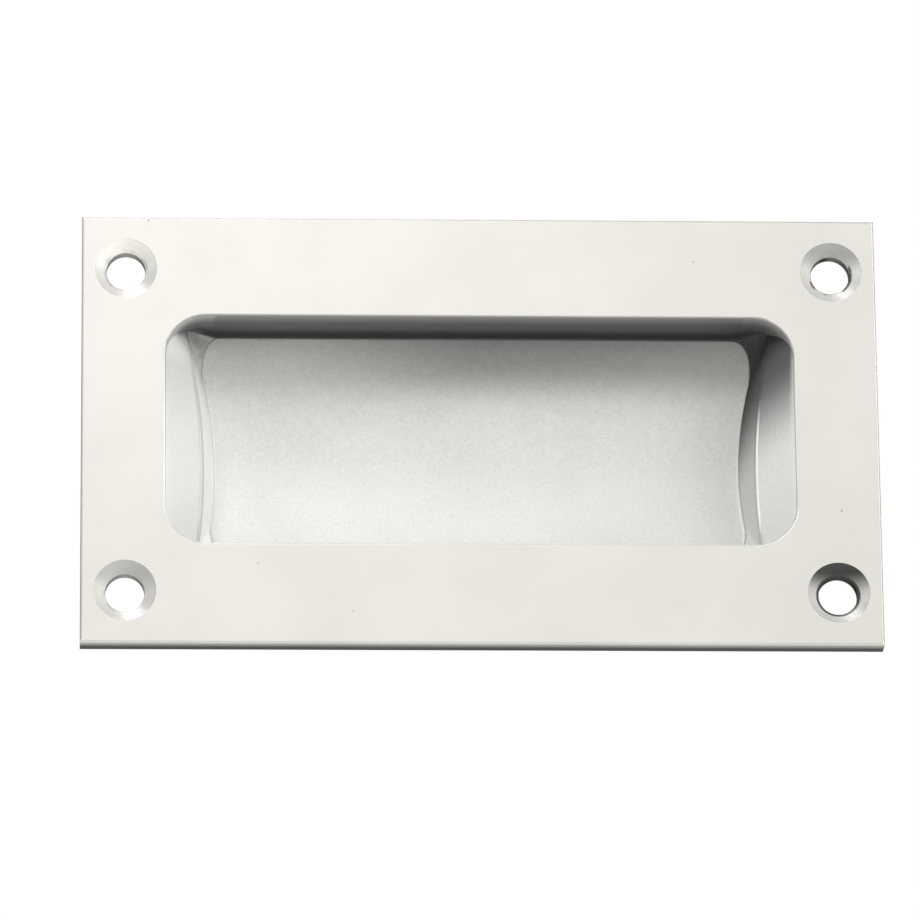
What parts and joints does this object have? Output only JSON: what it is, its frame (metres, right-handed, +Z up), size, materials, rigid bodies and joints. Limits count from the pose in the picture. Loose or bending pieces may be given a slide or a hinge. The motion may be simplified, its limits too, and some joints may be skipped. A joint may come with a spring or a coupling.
{
  "type": "recessed pull handle",
  "caption": "Rectangular flush pull: flat plate with a countersunk hole near each corner and a cast finger cup with a curved floor behind a rounded opening.",
  "frame": {"origin": "centre of the screw pattern on the back face of the plate, which seats on the door", "axes": "+Z up, -Y out of the face towards the user, +Y into the door, X along the plate"},
  "size_m": [0.102, 0.0128, 0.057],
  "materials": {
    "satin_aluminium": "satin anodised"
  },
  "bodies": {
    "root": {"pull_handle": "satin_aluminium"}
  },
  "joints": []
}
